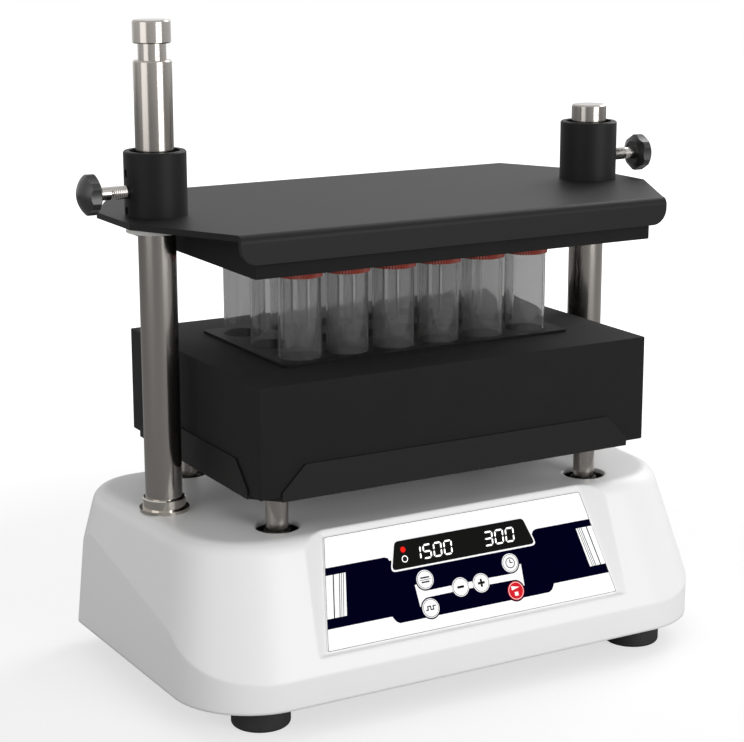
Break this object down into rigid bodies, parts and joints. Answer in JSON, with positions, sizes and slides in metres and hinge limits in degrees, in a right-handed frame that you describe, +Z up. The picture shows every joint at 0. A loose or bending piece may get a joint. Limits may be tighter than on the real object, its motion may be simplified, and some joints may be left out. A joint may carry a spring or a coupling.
{
  "type": "multi-tube vortex mixer",
  "caption": "Bench mixer whose motor orbits a tray with a foam rack of capped tubes, held by a foam-lined plate that slides and clamps on posts above a moulded housing.",
  "frame": {"origin": "middle of the footprint on the bench top under the feet", "axes": "+X to the right seen from the front, +Y to the rear, -Y out of the key panel, +Z up"},
  "size_m": [0.4516, 0.2382, 0.4474],
  "materials": {
    "housing_plastic": "satin",
    "plated_sheet": "satin",
    "plated_screw": "satin",
    "foot_rubber": "matte",
    "overlay_film": "satin",
    "window_acrylic": "gloss",
    "light_lens": "gloss",
    "board_laminate": "satin",
    "display_case": "satin",
    "post_steel": "polished",
    "ring_nickel": "polished",
    "motor_enamel": "satin",
    "rotor_steel": "satin",
    "crank_steel": "satin",
    "bearing_steel": "polished",
    "carrier_aluminium": "satin",
    "supply_case": "satin",
    "socket_plastic": "satin",
    "blade_brass": "satin",
    "rocker_plastic": "gloss",
    "black_enamel": "matte",
    "rack_sheet": "matte",
    "rack_foam": "matte",
    "clear_tube": "gloss",
    "cap_plastic": "satin",
    "bush_nylon": "satin",
    "grub_steel": "matte",
    "knob_plastic": "satin",
    "key_white": "satin",
    "key_red": "satin"
  },
  "bodies": {
    "base": {"housing": "housing_plastic", "base_plate": "plated_sheet", "base_screws": "plated_screw", "feet": "foot_rubber", "foot_screws": "plated_screw", "panel_overlay": "overlay_film", "display_window": "window_acrylic", "status_lights": "light_lens", "control_board": "board_laminate", "display_module": "display_case", "post_sockets": "plated_sheet", "post_rings": "ring_nickel", "left_post": "post_steel", "right_post": "post_steel", "motor": "motor_enamel", "motor_screws": "plated_screw", "idler_pillars": "plated_sheet", "pillar_bearings": "bearing_steel", "power_supply": "supply_case", "mains_inlet": "socket_plastic", "inlet_pins": "blade_brass", "switch_body": "socket_plastic"},
    "drive": {"eccentric_shaft": "crank_steel", "counterweight": "crank_steel", "motor_rotor": "rotor_steel"},
    "front_left_crank": {"front_left_idler": "crank_steel"},
    "rear_left_crank": {"rear_left_idler": "crank_steel"},
    "front_right_crank": {"front_right_idler": "crank_steel"},
    "rear_right_crank": {"rear_right_idler": "crank_steel"},
    "platform": {"carrier_plate": "carrier_aluminium", "drive_bearing": "bearing_steel", "carrier_bearings": "bearing_steel", "platform_posts": "post_steel", "post_boots": "foot_rubber", "platform_bolts": "plated_screw", "tray": "black_enamel", "rack_block": "rack_foam", "rack_plate": "rack_sheet", "front_tubes": "clear_tube", "middle_tubes": "clear_tube", "rear_tubes": "clear_tube", "front_caps": "cap_plastic", "middle_caps": "cap_plastic", "rear_caps": "cap_plastic"},
    "press": {"press_plate": "black_enamel", "press_pad": "rack_foam", "post_collars": "black_enamel", "post_bushes": "bush_nylon", "grub_screws": "grub_steel"},
    "left_tip": {"left_clamp_tip": "bush_nylon"},
    "right_tip": {"right_clamp_tip": "bush_nylon"},
    "left_knob": {"left_clamp_knob": "knob_plastic"},
    "right_knob": {"right_clamp_knob": "knob_plastic"},
    "mode_key": {"key_mode": "key_white"},
    "pulse_key": {"key_pulse": "key_white"},
    "minus_key": {"key_minus": "key_white"},
    "plus_key": {"key_plus": "key_white"},
    "timer_key": {"key_timer": "key_white"},
    "start_key": {"key_start": "key_red"},
    "rocker": {"power_rocker": "rocker_plastic"}
  },
  "joints": [
    {"name": "drive_spin", "type": "hinge", "parent": "base", "child": "drive", "pos_m": [-0.002, 0.0125, 0.0795], "axis": [0, 0, 1], "continuous": true},
    {"name": "platform_orbit", "type": "hinge", "parent": "drive", "child": "platform", "pos_m": [0, 0.0125, 0.0985], "axis": [0, 0, 1], "continuous": true},
    {"name": "front_left_spin", "type": "hinge", "parent": "base", "child": "front_left_crank", "pos_m": [-0.088, -0.0395, 0.082], "axis": [0, 0, 1], "continuous": true},
    {"name": "rear_left_spin", "type": "hinge", "parent": "base", "child": "rear_left_crank", "pos_m": [-0.088, 0.0645, 0.082], "axis": [0, 0, 1], "continuous": true},
    {"name": "front_right_spin", "type": "hinge", "parent": "base", "child": "front_right_crank", "pos_m": [0.084, -0.0395, 0.082], "axis": [0, 0, 1], "continuous": true},
    {"name": "rear_right_spin", "type": "hinge", "parent": "base", "child": "rear_right_crank", "pos_m": [0.084, 0.0645, 0.082], "axis": [0, 0, 1], "continuous": true},
    {"name": "press_lift", "type": "slide", "parent": "base", "child": "press", "axis": [0, 0, 1], "range_m": [0, 0.0889]},
    {"name": "left_tip_slide", "type": "slide", "parent": "press", "child": "left_tip", "axis": [-1, 0, 0], "range_m": [0, 0.0025]},
    {"name": "left_knob_turn", "type": "hinge", "parent": "left_tip", "child": "left_knob", "pos_m": [-0.1716, 0.0125, 0.3385], "axis": [-1, 0, 0], "range_deg": [0, 720]},
    {"name": "right_tip_slide", "type": "slide", "parent": "press", "child": "right_tip", "axis": [1, 0, 0], "range_m": [0, 0.0025]},
    {"name": "right_knob_turn", "type": "hinge", "parent": "right_tip", "child": "right_knob", "pos_m": [0.1716, 0.0125, 0.3385], "axis": [1, 0, 0], "range_deg": [0, 720]},
    {"name": "mode_key_press", "type": "slide", "parent": "base", "child": "mode_key", "axis": [0, 0.9157, -0.4019], "range_m": [0, 0.0006], "stiffness_N_per_m": 3000},
    {"name": "pulse_key_press", "type": "slide", "parent": "base", "child": "pulse_key", "axis": [0, 0.9157, -0.4019], "range_m": [0, 0.0006], "stiffness_N_per_m": 3000},
    {"name": "minus_key_press", "type": "slide", "parent": "base", "child": "minus_key", "axis": [0, 0.9157, -0.4019], "range_m": [0, 0.0006], "stiffness_N_per_m": 3000},
    {"name": "plus_key_press", "type": "slide", "parent": "base", "child": "plus_key", "axis": [0, 0.9157, -0.4019], "range_m": [0, 0.0006], "stiffness_N_per_m": 3000},
    {"name": "timer_key_press", "type": "slide", "parent": "base", "child": "timer_key", "axis": [0, 0.9157, -0.4019], "range_m": [0, 0.0006], "stiffness_N_per_m": 3000},
    {"name": "start_key_press", "type": "slide", "parent": "base", "child": "start_key", "axis": [0, 0.9157, -0.4019], "range_m": [0, 0.0006], "stiffness_N_per_m": 3000},
    {"name": "rocker_tilt", "type": "hinge", "parent": "base", "child": "rocker", "pos_m": [0.066, 0.112, 0.053], "axis": [-1, 0, 0], "range_deg": [0, 20]}
  ],
  "couplings": [
    {"joint": "platform_orbit", "follows": "drive_spin", "ratio": -1},
    {"joint": "front_left_spin", "follows": "drive_spin", "ratio": 1},
    {"joint": "rear_left_spin", "follows": "drive_spin", "ratio": 1},
    {"joint": "front_right_spin", "follows": "drive_spin", "ratio": 1},
    {"joint": "rear_right_spin", "follows": "drive_spin", "ratio": 1},
    {"joint": "left_knob_turn", "follows": "left_tip_slide", "rad_per_m": 5026.5},
    {"joint": "right_knob_turn", "follows": "right_tip_slide", "rad_per_m": 5026.5}
  ]
}
